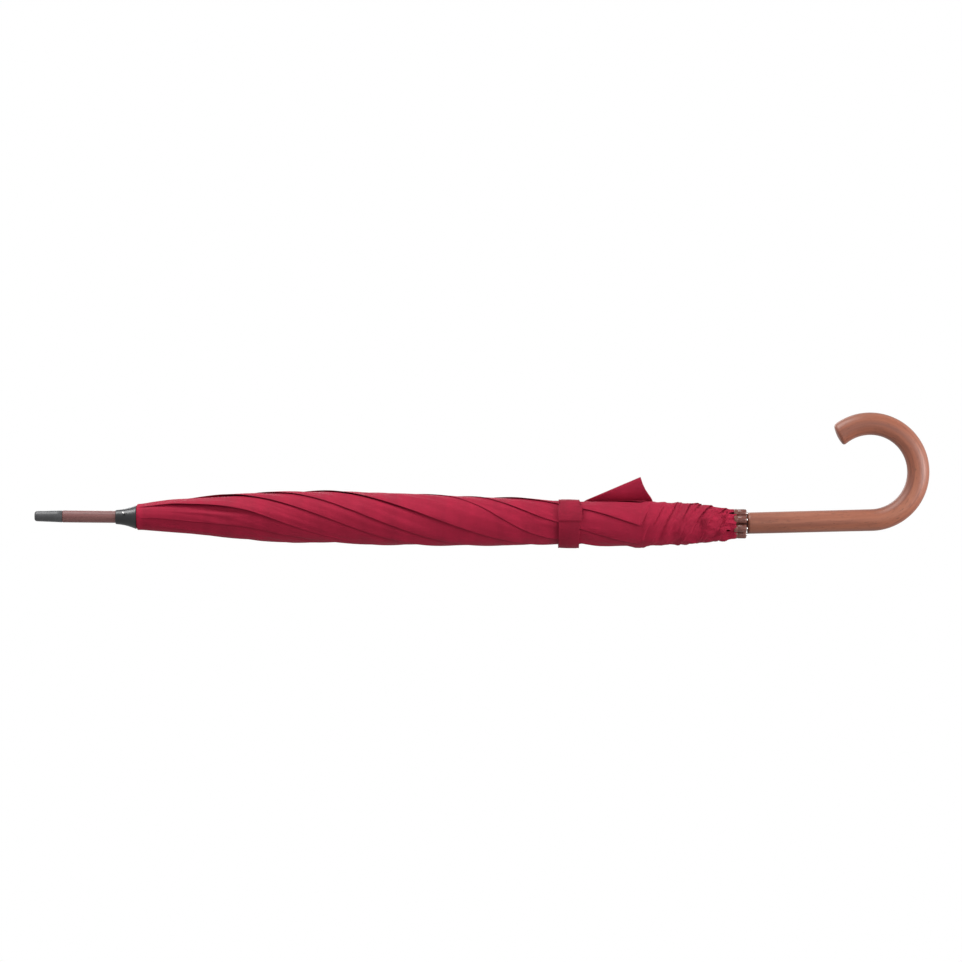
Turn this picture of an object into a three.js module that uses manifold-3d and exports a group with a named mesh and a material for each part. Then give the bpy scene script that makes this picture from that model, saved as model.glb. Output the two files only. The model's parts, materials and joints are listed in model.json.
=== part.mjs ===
// Crook-handled stick umbrella, furled, standing on end: millimetres, +Z up towards the spike.
// The origin is on the shaft axis at the middle of the straight grip; the crook bends towards +X.
import * as THREE from 'three';
import { mergeVertices } from 'three/addons/utils/BufferGeometryUtils.js';
import Module from 'manifold-3d';

const wasm = await Module();
wasm.setup();

// ---------- driving dimensions ----------
const GAP = 0.3;                       // room left between touching pieces
const RIBS = 8;
const SECTOR = 360 / RIBS;

const SHAFT = { radius: 6, bottom: 12, top: 744, tenonRadius: 4, tenonTop: 760 };
const TIP = { top: 771.9, baseRadius: 5.95, endRadius: 5.2, flatRadius: 3.9, edge: 1.6 };
const CAP = { rim: 670.3, top: 691.2, rimRadius: 11.85, collarRadius: 7.25, bore: 6.3, wall: 1.4,
  waist: 0.9 };
const CAP_PIN = { z: 683.2, azimuth: -71, radius: 0.9, reach: 9.1, headRadius: 1.6, headHeight: 1 };
const HANDLE = { top: 61.8, radius: 10.9, bend: 48, straight: -61.5, sweep: 218.5, lean: 2 };

const PIVOT = 8.5;                     // radius of the rib and stretcher pivots from the shaft axis
const NOTCH = { z: 664, bottom: 659, top: 669, bore: 6.3, radius: 11, slot: 2.2, slotRise: 2.5 };
const STRETCHER = { length: 240, halfWidth: 1.1, thickness: 2 };
const RIB = { joint: 240, start: 8, length: 588, halfDepth: 1.4, width: 3, wall: 0.6, splitGap: 0.8,
  split: 246 };
// Distance of the rib's centre line from the shaft axis, and how far each half bows out.
const RIB_LINE = { top: 10.6, joint: 12.2, end: 11, upperBow: 5, lowerBow: 4 };
const EYE = { radius: 1.3, hole: 0.75, thickness: 1.6 };
const WIRE_RADIUS = 0.45;
const GROOVE = { depth: 0.8, halfHeight: 0.8 };
const RUNNER = { bore: 6.35, radius: 7.6, bottom: 122, crown: 10.4, crownDepth: 5, collar: 9.2,
  collarHeight: 4, neckHeight: 6, slot: 2.8, window: [128, 136] };
const RIB_TIP = { pitch: 11, radius: 4, bottom: 63.2, top: 75.7, socketRadius: 1.5, socketDepth: 6 };
const PRONG = { radius: 1.2, length: 9 };

// The forked bracket that carries the stretcher's upper pivot, from the pivot outwards.
const BRACKET = { thickness: 0.7, offset: 1.65, rivetRadius: 0.5, rivetLength: 3.8,
  outline: [[7.2, 1.5], [7.2, -1.5], [9.6, -2], [12.6, -4.5], [13.4, -4.5], [13.4, 7], [11, 7],
    [8.6, 2]] };

const SPRING = { azimuth: -90, slot: 2.4, width: 1.8, strip: 0.7 };
const TOP_SLOT = [436, 489];
const BOTTOM_SLOT = [80, 138];
const TOP_LEAF = [[3.2, 440], [8.5, 481], [8.5, 484], [3.2, 484.6]];
const BOTTOM_LEAF = [[3.2, 84], [8.8, 110], [8.6, 115], [4.9, 119.5], [4.9, 128.4], [8.6, 131],
  [8.6, 133.8], [4.5, 134.4]];
const STOP_PIN = { z: 556, azimuth: 0, radius: 0.9, reach: 7.4 };

const CANOPY = { top: 639, joint: 424, jointGap: 0.8, hem: 79, clearance: 0.5, edgeGap: 0.7 };
const STRAP = { bottom: 229, top: 249, inner: 21.2, outer: 22.6 };
const TAB = { bottom: 227, top: 251, inner: 23, outer: 24, from: -88, to: -30 };
const FLAP = { azimuth: 70, root: 224, apex: 170, hem: 156, reach: 41.6, thickness: 1.2, radius: 23.2,
  foot: 6, footDepth: 3.4 };

const SIDES = { turned: 32, rod: 10, slim: 24, tip: 14, rivet: 6 };
const THROUGH = 1;                     // how far a cutting tool stands past the face it cuts

const NOTCH_Z = NOTCH.z;
const RUNNER_Z = NOTCH_Z - 2 * STRETCHER.length;
const JOINT_Z = NOTCH_Z - RIB.joint;

// ---------- materials ----------
function paint(color, roughness, metalness = 0) {
  return new THREE.MeshStandardMaterial({ color, roughness, metalness });
}
const darkWood = paint(0x7a5350, 0.5);
const redWood = paint(0x8f4f3c, 0.35);
const blackPlastic = paint(0x18171b, 0.2);
const greyPlastic = paint(0x3c3a40, 0.4);
const brownPlastic = paint(0x5c3630, 0.25);
const steel = paint(0xb9bcc2, 0.3, 1);
const blackSteel = paint(0x1c1c20, 0.4, 0.8);
const cloth = paint(0xa0233f, 0.8);

// ---------- geometry helpers ----------
const rad = THREE.MathUtils.degToRad;
const lerp = THREE.MathUtils.lerp;

// Welds the seams, drops collapsed triangles and turns the faces outward.
function closed(source) {
  source.deleteAttribute('normal');
  source.deleteAttribute('uv');
  const geometry = mergeVertices(source, 1e-4);
  const old = geometry.getIndex().array;
  const position = geometry.getAttribute('position');
  const corner = [new THREE.Vector3(), new THREE.Vector3(), new THREE.Vector3()];
  const index = [];
  let volume = 0;
  for (let i = 0; i < old.length; i += 3) {
    const [a, b, c] = [old[i], old[i + 1], old[i + 2]];
    if (a === b || b === c || c === a) continue;
    index.push(a, b, c);
    [a, b, c].forEach((v, k) => corner[k].fromBufferAttribute(position, v));
    volume += corner[0].dot(corner[1].cross(corner[2]));
  }
  if (volume < 0) index.reverse();
  geometry.setIndex(index);
  return geometry;
}

function solid(source) {
  const geometry = closed(source);
  return new wasm.Manifold(new wasm.Mesh({
    numProp: 3,
    vertProperties: new Float32Array(geometry.getAttribute('position').array),
    triVerts: new Uint32Array(geometry.getIndex().array),
  }));
}

function geometryOf(body) {
  const mesh = body.getMesh();
  const geometry = new THREE.BufferGeometry();
  geometry.setAttribute('position', new THREE.BufferAttribute(mesh.vertProperties, 3));
  geometry.setIndex(new THREE.BufferAttribute(mesh.triVerts, 1));
  geometry.computeVertexNormals();
  return geometry;
}

function join(first, ...others) {
  return others.reduce((body, other) => body.add(other), first);
}

function cut(first, ...others) {
  return others.reduce((body, other) => body.subtract(other), first);
}

// A ring or turned part about the shaft axis from [radius, height] points.
function turned(points, sides = SIDES.turned) {
  const profile = points.map(([r, z]) => new THREE.Vector2(r, z));
  return new THREE.LatheGeometry(profile, sides).rotateX(Math.PI / 2);
}

function ring(inner, outer, bottom, top, sides = SIDES.turned) {
  return turned([[inner, bottom], [outer, bottom], [outer, top], [inner, top], [inner, bottom]], sides);
}

// A flat plate standing in the radial plane of azimuth 0, from [radius, height] points.
function plate(points, thickness, offset = 0) {
  const shape = new THREE.Shape(points.map(([r, z]) => new THREE.Vector2(r, z)));
  const geometry = new THREE.ExtrudeGeometry(shape, { depth: thickness, bevelEnabled: false });
  return geometry.translate(0, 0, offset - thickness / 2).rotateX(Math.PI / 2);
}

function disc(radius, z, size, thickness, sides = SIDES.rod) {
  return new THREE.CylinderGeometry(size, size, thickness, sides).translate(radius, 0, z);
}

function block(radial, across, height, azimuth = 0) {
  const [r0, r1] = radial;
  const [z0, z1] = height;
  const box = new THREE.BoxGeometry(r1 - r0, across, z1 - z0);
  return box.translate((r0 + r1) / 2, 0, (z0 + z1) / 2).rotateZ(rad(azimuth));
}

// A rod lying across the shaft axis along the given azimuth.
function rod(radius, from, to, z, azimuth, sides = SIDES.rod) {
  const geometry = new THREE.CylinderGeometry(radius, radius, to - from, sides).rotateZ(-Math.PI / 2);
  return geometry.translate((from + to) / 2, 0, z).rotateZ(rad(azimuth));
}

// The outline of a strip of even width along a line of [radius, height] points.
function strip(line, width) {
  const left = [];
  const right = [];
  line.forEach(([r, z], i) => {
    const [r0, z0] = line[Math.max(i - 1, 0)];
    const [r1, z1] = line[Math.min(i + 1, line.length - 1)];
    const length = Math.hypot(r1 - r0, z1 - z0);
    const nr = (-(z1 - z0) / length) * (width / 2);
    const nz = ((r1 - r0) / length) * (width / 2);
    left.push([r + nr, z + nz]);
    right.unshift([r - nr, z - nz]);
  });
  return [...left, ...right];
}

const umbrella = new THREE.Group();
umbrella.name = 'stick_umbrella';

function add(name, geometry, material, azimuth = 0) {
  const mesh = new THREE.Mesh(geometry, material);
  mesh.name = name;
  mesh.rotation.z = rad(azimuth);
  umbrella.add(mesh);
}

// The ribs stand half a sector either side of the plane of the crook.
function azimuthOf(rib) {
  return SECTOR * (rib - 1 / 2);
}

function everyRib(make) {
  for (let rib = 1; rib <= RIBS; rib += 1) make(rib, azimuthOf(rib));
}

// ---------- shaft, spike and handle ----------
function shaft() {
  const { radius, bottom, top, tenonRadius, tenonTop } = SHAFT;
  const stick = solid(turned([[0, bottom], [radius, bottom], [radius, top], [tenonRadius, top],
    [tenonRadius, tenonTop], [0, tenonTop]], SIDES.slim));
  const reach = radius + THROUGH;
  const slot = (span) => solid(block([-radius / 2, reach], SPRING.slot, span, SPRING.azimuth));
  const hole = (pin) => solid(rod(pin.radius + GAP, -reach, reach, pin.z, pin.azimuth));
  return geometryOf(cut(stick, slot(TOP_SLOT), slot(BOTTOM_SLOT), hole(CAP_PIN), hole(STOP_PIN)));
}

function endTip() {
  const { top, baseRadius, endRadius, flatRadius, edge } = TIP;
  const bottom = SHAFT.top + GAP;
  const socket = SHAFT.tenonTop + GAP;
  const bore = SHAFT.tenonRadius + GAP;
  return closed(turned([[0, socket], [bore, socket], [bore, bottom], [baseRadius, bottom],
    [endRadius, top - edge], [lerp(endRadius, flatRadius, 1 / 4), top - edge / 3], [flatRadius, top],
    [0, top]]));
}

// The grip runs straight down and then round the crook.
class HandleLine extends THREE.Curve {
  getPoint(t, target = new THREE.Vector3()) {
    const { top, bend, straight, sweep } = HANDLE;
    const run = top - straight;
    const distance = t * (run + bend * rad(sweep));
    if (distance < run) return target.set(0, 0, top - distance);
    const turn = (distance - run) / bend;
    return target.set(bend - bend * Math.cos(turn), 0, straight - bend * Math.sin(turn));
  }
}

function handle() {
  const section = new THREE.Shape().absarc(0, 0, HANDLE.radius, 0, 2 * Math.PI);
  const bar = new THREE.ExtrudeGeometry(section, {
    extrudePath: new HandleLine(), steps: 40, curveSegments: 8, bevelEnabled: false,
  });
  bar.translate(0, 0, -HANDLE.top).rotateY(-rad(HANDLE.lean)).translate(0, 0, HANDLE.top);
  const bore = ring(0, SHAFT.radius + GAP, SHAFT.bottom - GAP, HANDLE.top + THROUGH, SIDES.slim);
  return geometryOf(cut(solid(bar), solid(bore)));
}

// ---------- cap, notch and runner ----------
function topCap() {
  const { rim, top, rimRadius, collarRadius, bore, wall, waist } = CAP;
  const flare = (t) => lerp(rimRadius, collarRadius, t) - waist * Math.sin(Math.PI * t);
  const outside = [0, 0.2, 0.4, 0.6, 0.8, 1].map((t) => [flare(t), lerp(rim, top, t)]);
  const inside = [0.55, 0.35, 0.15, 0].map((t) => [Math.max(flare(t) - wall, bore), lerp(rim, top, t)]);
  const body = solid(turned([...outside, [bore, top], ...inside, outside[0]]));
  const hole = solid(rod(CAP_PIN.radius + GAP, -rimRadius, rimRadius, CAP_PIN.z, CAP_PIN.azimuth));
  return geometryOf(cut(body, hole));
}

function capPin() {
  const { z, azimuth, radius, reach, headRadius, headHeight } = CAP_PIN;
  const stem = solid(rod(radius, -reach - GAP, reach + GAP, z, azimuth));
  const head = (turn) => solid(rod(headRadius, reach, reach + headHeight, z, azimuth + turn));
  return geometryOf(join(stem, head(0), head(180)));
}

// Eight slots and one groove for the tie wire, cut into a crown of teeth.
function toothed(body, z, slotWidth, slotHeight, outer) {
  let crown = body;
  everyRib((rib, azimuth) => {
    const slot = block([PIVOT - EYE.radius - GAP, outer + THROUGH], slotWidth, slotHeight, azimuth);
    crown = crown.subtract(solid(slot));
  });
  const { depth, halfHeight } = GROOVE;
  const groove = ring(PIVOT - depth, outer + THROUGH, z - halfHeight, z + halfHeight);
  return crown.subtract(solid(groove));
}

function topNotch() {
  const body = solid(ring(NOTCH.bore, NOTCH.radius, NOTCH.bottom, NOTCH.top));
  const height = [NOTCH.bottom - THROUGH, NOTCH_Z + NOTCH.slotRise];
  return geometryOf(toothed(body, NOTCH_Z, NOTCH.slot, height, NOTCH.radius));
}

function runner() {
  const { bore, radius, bottom, crown, crownDepth, collar, collarHeight, neckHeight } = RUNNER;
  const top = RUNNER_Z + crownDepth;
  const base = RUNNER_Z - crownDepth;
  const body = solid(turned([[bore, bottom], [collar, bottom], [collar, bottom + collarHeight],
    [radius, bottom + neckHeight], [radius, base], [crown, base], [crown, top], [bore, top],
    [bore, bottom]]));
  const opening = block([bore - THROUGH, collar + THROUGH], SPRING.slot, RUNNER.window, SPRING.azimuth);
  const height = [RUNNER_Z - EYE.radius - GAP, top + THROUGH];
  return geometryOf(toothed(body, RUNNER_Z, RUNNER.slot, height, crown).subtract(solid(opening)));
}

function tieWire(z) {
  return closed(new THREE.TorusGeometry(PIVOT, WIRE_RADIUS, SIDES.rivet, SIDES.turned).translate(0, 0, z));
}

// ---------- ribs and stretchers ----------
// Radius of the rib's centre line at a distance u below its pivot: it bows out twice.
function ribCentre(u) {
  const { joint, length } = RIB;
  const { top, end, upperBow, lowerBow } = RIB_LINE;
  const upper = u / joint;
  if (upper <= 1) return lerp(top, RIB_LINE.joint, upper) + upperBow * Math.sin(Math.PI * upper);
  const lower = (u - joint) / (length - joint);
  return lerp(RIB_LINE.joint, end, lower) + lowerBow * Math.sin(Math.PI * lower);
}

function ribBand(from, to, low, high, steps) {
  const outside = [];
  const inside = [];
  for (let i = 0; i <= steps; i += 1) {
    const u = lerp(from, to, i / steps);
    outside.push([ribCentre(u) + high, NOTCH_Z - u]);
    inside.unshift([ribCentre(u) + low, NOTCH_Z - u]);
  }
  return [...outside, ...inside];
}

// A steel channel, open towards the shaft.
function channel(from, to, steps) {
  const { halfDepth, width, wall } = RIB;
  const bar = solid(plate(ribBand(from, to, -halfDepth, halfDepth, steps), width));
  const hollow = ribBand(from - THROUGH, to + THROUGH, -halfDepth - THROUGH, halfDepth - wall, steps + 2);
  return bar.subtract(solid(plate(hollow, width - 2 * wall)));
}

// The rib's upper end narrows to a flat neck with an eye for the tie wire.
function ribNeck() {
  const { start, halfDepth } = RIB;
  const { radius, thickness } = EYE;
  const below = [start + 2, 2 * start].map((u) => [ribCentre(u), NOTCH_Z - u]);
  const outside = below.map(([r, z]) => [r + halfDepth - GAP, z]);
  const inside = below.map(([r, z]) => [r - halfDepth + GAP, z]).reverse();
  return solid(plate([[PIVOT - radius + GAP, NOTCH_Z], [PIVOT + radius - GAP, NOTCH_Z + GAP], ...outside,
    ...inside], thickness));
}

function ribInner() {
  const { start, split, splitGap } = RIB;
  const { thickness, offset, outline, rivetRadius, rivetLength } = BRACKET;
  const body = channel(start, split - splitGap / 2, 8);
  const eye = solid(disc(PIVOT, NOTCH_Z, EYE.radius, EYE.thickness));
  const shape = outline.map(([r, z]) => [r, JOINT_Z + z]);
  const cheek = (side) => solid(plate(shape, thickness, side * offset));
  const rivet = solid(disc(PIVOT, JOINT_Z, rivetRadius, rivetLength, SIDES.rivet));
  const hole = solid(disc(PIVOT, NOTCH_Z, EYE.hole, EYE.thickness + THROUGH));
  return geometryOf(join(body, eye, ribNeck(), cheek(1), cheek(-1), rivet).subtract(hole));
}

function ribOuter() {
  const { split, splitGap, length } = RIB;
  const body = channel(split + splitGap / 2, length, 9);
  const prong = new THREE.CylinderGeometry(PRONG.radius, PRONG.radius, PRONG.length, SIDES.rod);
  prong.rotateX(Math.PI / 2).translate(RIB_TIP.pitch, 0, NOTCH_Z - length - 1 / 2);
  return geometryOf(join(body, solid(prong)));
}

function stretcher() {
  const { halfWidth, thickness } = STRETCHER;
  const bar = solid(plate([[PIVOT - halfWidth, RUNNER_Z], [PIVOT + halfWidth, RUNNER_Z],
    [PIVOT + halfWidth, JOINT_Z], [PIVOT - halfWidth, JOINT_Z]], thickness));
  const ends = [RUNNER_Z, JOINT_Z];
  const eyes = ends.map((z) => solid(disc(PIVOT, z, EYE.radius, thickness)));
  const holes = ends.map((z) => solid(disc(PIVOT, z, EYE.hole, thickness + THROUGH)));
  return geometryOf(cut(join(bar, ...eyes), ...holes));
}

function ribTip() {
  const { pitch, radius, bottom, top, socketRadius, socketDepth } = RIB_TIP;
  const socket = top - socketDepth;
  const profile = turned([[0, bottom], [0.65 * radius, bottom], [0.9 * radius, bottom + 0.15 * radius],
    [radius, bottom + 0.4 * radius], [radius, top - 0.25 * radius], [0.875 * radius, top],
    [socketRadius, top], [socketRadius, socket], [0, socket]], SIDES.tip);
  return closed(profile.translate(pitch, 0, 0));
}

// ---------- springs and stop ----------
function leaf(line) {
  return closed(plate(strip(line, SPRING.strip), SPRING.width));
}

function stopPin() {
  const { z, azimuth, radius, reach } = STOP_PIN;
  return closed(rod(radius, -reach, reach, z, azimuth));
}

// ---------- canopy ----------
// Outside radius of the furled cloth against height.
const BUNDLE = [[60, 15], [79, 15.6], [95, 17.4], [120, 20.2], [159, 21.6], [209, 21.6], [225, 20.8],
  [253, 20.8], [294, 23.6], [359, 25], [408, 25.4], [478, 25.8], [548, 24.6],
  [578, 21.6], [608, 19.2], [639, 16.5]];

function bundleRadius(z) {
  const i = Math.min(Math.max(BUNDLE.findIndex(([height]) => height >= z), 1), BUNDLE.length - 1);
  const [[z0, r0], [z1, r1]] = [BUNDLE[i - 1], BUNDLE[i]];
  return lerp(r0, r1, (z - z0) / (z1 - z0));
}

// The cloth lies clear of the ribs even where a sector slides sideways over one.
function liningRadius(z) {
  const outside = ribCentre(NOTCH_Z - z) + RIB.halfDepth;
  return outside / Math.cos(rad(SECTOR / 2)) + CANOPY.clearance;
}

function clothSector(bottom, top, from, to) {
  const between = BUNDLE.map(([z]) => z).filter((z) => z > bottom + 1 && z < top - 1);
  const heights = [bottom, ...between, top];
  const outside = heights.map((z) => [bundleRadius(z), z]);
  const inside = heights.map((z) => [liningRadius(z), z]).reverse();
  const sleeve = solid(turned([...outside, ...inside, outside[0]]));
  const reach = 2 * bundleRadius(JOINT_Z);
  const start = from + CANOPY.edgeGap;
  const end = to - CANOPY.edgeGap;
  const arc = [0, 0.5, 1].map((t) => rad(lerp(start, end, t)));
  const outline = new THREE.Shape([new THREE.Vector2(0, 0),
    ...arc.map((a) => new THREE.Vector2(reach * Math.cos(a), reach * Math.sin(a)))]);
  const depth = top - bottom + 2 * THROUGH;
  const wedge = new THREE.ExtrudeGeometry(outline, { depth, bevelEnabled: false });
  return sleeve.intersect(solid(wedge.translate(0, 0, bottom - THROUGH)));
}

function upperCloth() {
  const half = SECTOR / 2;
  return geometryOf(clothSector(CANOPY.joint + CANOPY.jointGap / 2, CANOPY.top, -half, 3 * half));
}

// The corner of one pleat stands off the furled cloth as a flat triangular flap on a short foot.
function flap(azimuth) {
  const { root, apex, hem, reach, thickness, radius, foot, footDepth } = FLAP;
  const sheet = (points, depth) => {
    const outline = new THREE.Shape(points.map(([across, z]) => new THREE.Vector2(across, z)));
    const geometry = new THREE.ExtrudeGeometry(outline, { depth, bevelEnabled: false });
    geometry.rotateX(Math.PI / 2).rotateZ(-Math.PI / 2).translate(radius, 0, 0);
    return solid(geometry.rotateZ(rad(azimuth)));
  };
  const wing = sheet([[-foot, hem], [0, hem], [reach, apex], [0, root], [-foot, root - foot]], thickness);
  const heel = -foot / 4;
  const base = sheet([[-foot, hem + THROUGH], [heel, hem + THROUGH], [heel, root - foot - THROUGH],
    [-foot, root - foot - THROUGH]], footDepth);
  return wing.add(base);
}

function lowerCloth(flapAzimuth) {
  const half = SECTOR / 2;
  const sector = clothSector(CANOPY.hem, CANOPY.joint - CANOPY.jointGap / 2, -half, half);
  return geometryOf(flapAzimuth === undefined ? sector : sector.add(flap(flapAzimuth)));
}

// ---------- strap ----------
function strapTab() {
  const { bottom, top, inner, outer, from, to } = TAB;
  const steps = 10;
  const band = new THREE.Shape();
  const angles = Array.from({ length: steps + 1 }, (_, i) => rad(lerp(from, to, i / steps)));
  const edge = (radius, list) =>
    list.map((a) => new THREE.Vector2(radius * Math.cos(a), radius * Math.sin(a)));
  band.setFromPoints([...edge(outer, angles), ...edge(inner, [...angles].reverse())]);
  const geometry = new THREE.ExtrudeGeometry(band, { depth: top - bottom, bevelEnabled: false });
  return closed(geometry.translate(0, 0, bottom));
}

// ---------- assembly ----------
add('shaft', shaft(), darkWood);
add('handle', handle(), redWood);
add('end_tip', endTip(), greyPlastic);
add('top_cap', topCap(), blackPlastic);
add('cap_pin', capPin(), steel);
add('top_notch', topNotch(), blackPlastic);
add('notch_wire', tieWire(NOTCH_Z), steel);
add('stop_pin', stopPin(), steel);
add('runner', runner(), blackPlastic);
add('runner_wire', tieWire(RUNNER_Z), steel);
add('top_spring', leaf(TOP_LEAF), steel, SPRING.azimuth);
add('bottom_spring', leaf(BOTTOM_LEAF), steel, SPRING.azimuth);

everyRib((rib, azimuth) => {
  add(`rib_inner_${rib}`, ribInner(), blackSteel, azimuth);
  add(`rib_outer_${rib}`, ribOuter(), blackSteel, azimuth);
  add(`stretcher_${rib}`, stretcher(), blackSteel, azimuth);
  add(`rib_tip_${rib}`, ribTip(), brownPlastic, azimuth);
  if (rib % 2 === 1) add(`canopy_upper_${rib}`, upperCloth(), cloth, azimuth);
  const holdsFlap = Math.abs(azimuth - FLAP.azimuth) < SECTOR / 2;
  add(`canopy_lower_${rib}`, lowerCloth(holdsFlap ? FLAP.azimuth - azimuth : undefined), cloth, azimuth);
});

add('strap', closed(ring(STRAP.inner, STRAP.outer, STRAP.bottom, STRAP.top)), cloth);
add('strap_tab', strapTab(), cloth);

export default umbrella;
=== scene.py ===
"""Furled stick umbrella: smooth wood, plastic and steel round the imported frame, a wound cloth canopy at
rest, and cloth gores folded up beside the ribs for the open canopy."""

import json
import math

import bmesh
import bpy
import numpy as np
from mathutils import Matrix, Vector, noise


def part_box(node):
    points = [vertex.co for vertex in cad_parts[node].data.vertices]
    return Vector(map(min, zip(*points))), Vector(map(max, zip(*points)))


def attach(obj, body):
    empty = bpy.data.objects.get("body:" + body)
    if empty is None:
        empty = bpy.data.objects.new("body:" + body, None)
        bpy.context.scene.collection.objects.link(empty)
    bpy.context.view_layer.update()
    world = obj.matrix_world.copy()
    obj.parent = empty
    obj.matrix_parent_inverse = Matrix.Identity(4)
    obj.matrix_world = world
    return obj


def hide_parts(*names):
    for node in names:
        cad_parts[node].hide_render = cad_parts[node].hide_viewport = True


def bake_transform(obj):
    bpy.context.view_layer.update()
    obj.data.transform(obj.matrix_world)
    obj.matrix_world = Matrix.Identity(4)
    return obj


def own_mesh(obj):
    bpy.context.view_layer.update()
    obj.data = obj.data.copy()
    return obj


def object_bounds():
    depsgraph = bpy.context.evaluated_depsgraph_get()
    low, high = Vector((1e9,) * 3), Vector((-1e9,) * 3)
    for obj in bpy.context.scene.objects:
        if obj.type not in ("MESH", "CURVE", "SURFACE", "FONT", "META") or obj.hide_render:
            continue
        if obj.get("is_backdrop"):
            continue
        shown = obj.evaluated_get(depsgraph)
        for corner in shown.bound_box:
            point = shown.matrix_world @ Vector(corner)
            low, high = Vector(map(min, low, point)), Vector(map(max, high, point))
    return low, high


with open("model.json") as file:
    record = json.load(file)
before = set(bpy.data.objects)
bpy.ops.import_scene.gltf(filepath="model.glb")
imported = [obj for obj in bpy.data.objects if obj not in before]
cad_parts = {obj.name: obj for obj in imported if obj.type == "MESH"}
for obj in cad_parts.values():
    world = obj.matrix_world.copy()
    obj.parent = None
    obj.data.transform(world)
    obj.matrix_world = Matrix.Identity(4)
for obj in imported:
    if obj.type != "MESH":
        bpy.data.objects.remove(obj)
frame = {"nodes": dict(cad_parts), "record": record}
cad_low, cad_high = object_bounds()

MM = 0.001
RIBS = 8
SECTOR = 360 / RIBS
joints = {j["name"]: j for j in frame["record"]["behaviour"]["joints"]}

# ---------- driving sizes in millimetres and degrees, read from the frame ----------
FIRST_RIB = math.degrees(math.atan2(*joints["canopy_open"]["pos_m"][1::-1]))
PIVOT_R = math.hypot(*joints["canopy_open"]["pos_m"][:2]) / MM
PIVOT_Z = joints["canopy_open"]["pos_m"][2] / MM
OPEN_ANGLE = joints["canopy_open"]["range_deg"][1]
BEND_ANGLE = -joints["rib_1_bend"]["range_deg"][0]
JOINT_U = PIVOT_Z - joints["stretcher_1_fold"]["pos_m"][2] / MM
BEND_U = PIVOT_Z - joints["rib_1_bend"]["pos_m"][2] / MM
SHAFT_LOW, SHAFT_HIGH = (np.array(c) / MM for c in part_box("shaft"))
TIP_LOW, TIP_HIGH = (np.array(c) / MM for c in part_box("end_tip"))
CAP_LOW, CAP_HIGH = (np.array(c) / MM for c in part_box("top_cap"))
RIB_TIP_LOW, RIB_TIP_HIGH = (np.array(c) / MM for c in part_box("rib_tip_1"))
STRAP_LOW, STRAP_HIGH = (np.array(c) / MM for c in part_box("strap"))
TAB_LOW, TAB_HIGH = (np.array(c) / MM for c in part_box("strap_tab"))
SHAFT_R = SHAFT_HIGH[0]


# ---------- small helpers ----------
def smoothstep(low, high, x):
    """0 below low, 1 above high and smooth between."""
    t = np.clip((np.asarray(x, float) - low) / (high - low), 0, 1)
    return t * t * (3 - 2 * t)


def curve_through(points, smooth=12):
    """A smooth function through (x, y) knots."""
    xs, ys = (np.array(c, float) for c in zip(*points))
    fine = np.linspace(xs[0] - 2 * smooth, xs[-1] + 2 * smooth, 900)
    values = np.interp(fine, xs, ys)
    kernel = np.hanning(max(3, int(2 * smooth / (fine[1] - fine[0])) | 1))
    kernel /= kernel.sum()
    pad = len(kernel) // 2
    padded = np.pad(values, pad, mode="edge")
    soft = np.convolve(padded, kernel, mode="valid")
    return lambda x: np.interp(x, fine, soft)


def new_object(name, vertices, faces, mat, smooth=True):
    """A mesh piece from millimetre vertices."""
    mesh = bpy.data.meshes.new(name)
    mesh.from_pydata([tuple(v) for v in np.asarray(vertices, float) * MM], [], [tuple(f) for f in faces])
    mesh.validate()
    mesh.polygons.foreach_set("use_smooth", [smooth] * len(mesh.polygons))
    piece = bpy.data.objects.new(name, mesh)
    bpy.context.scene.collection.objects.link(piece)
    piece.data.materials.append(mat)
    return piece


def grid_faces(rows, columns, closed=False):
    """Quads between the rows of a grid of vertices, closed round a ring if asked."""
    last = columns if closed else columns - 1
    faces = []
    for i in range(rows - 1):
        for j in range(last):
            a, b = i * columns + j, i * columns + (j + 1) % columns
            faces.append((a, b, b + columns, a + columns))
    return faces


def set_vectors(piece, name, values):
    """Stores one vector per vertex for a material to read."""
    layer = piece.data.attributes.new(name, "FLOAT_VECTOR", "POINT")
    layer.data.foreach_set("vector", np.asarray(values, np.float32).ravel())


def turned(name, profile, mat, sides=64, centre=(0, 0)):
    """A closed turned piece from (radius, height) points that start and end on the axis or close up."""
    on_axis = profile[0][0] == 0
    ring = profile[1:-1] if on_axis else profile[:-1]
    angles = np.arange(sides) * 2 * math.pi / sides
    vertices = [
        (centre[0] + r * math.cos(a), centre[1] + r * math.sin(a), z) for r, z in ring for a in angles
    ]
    faces = grid_faces(len(ring), sides, closed=True)
    end = (len(ring) - 1) * sides
    if on_axis:
        first, last = len(vertices), len(vertices) + 1
        vertices += [(*centre, profile[0][1]), (*centre, profile[-1][1])]
        for j in range(sides):
            k = (j + 1) % sides
            faces.append((first, k, j))
            faces.append((last, end + j, end + k))
    else:
        faces += [(end + j, end + (j + 1) % sides, (j + 1) % sides, j) for j in range(sides)]
    piece = new_object(name, vertices, faces, mat)
    recalculate(piece)
    return piece


def recalculate(piece):
    """Turns every face outward."""
    work = bmesh.new()
    work.from_mesh(piece.data)
    bmesh.ops.recalc_face_normals(work, faces=work.faces)
    work.to_mesh(piece.data)
    work.free()


def arc(centre, radius, start, end, steps):
    """Points on an arc in (radius, height), angles in degrees."""
    turns = [math.radians(start + (end - start) * i / steps) for i in range(steps + 1)]
    return [(centre[0] + radius * math.cos(t), centre[1] + radius * math.sin(t)) for t in turns]


def crease_edges(piece, angle=35):
    """Keeps hard edges hard while the rest shades smooth."""
    mod = piece.modifiers.new("edges", "EDGE_SPLIT")
    mod.split_angle = math.radians(angle)


def settle(piece):
    """Applies every modifier on a piece."""
    graph = bpy.context.evaluated_depsgraph_get()
    mesh = bpy.data.meshes.new_from_object(piece.evaluated_get(graph))
    piece.modifiers.clear()
    piece.data = mesh


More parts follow.
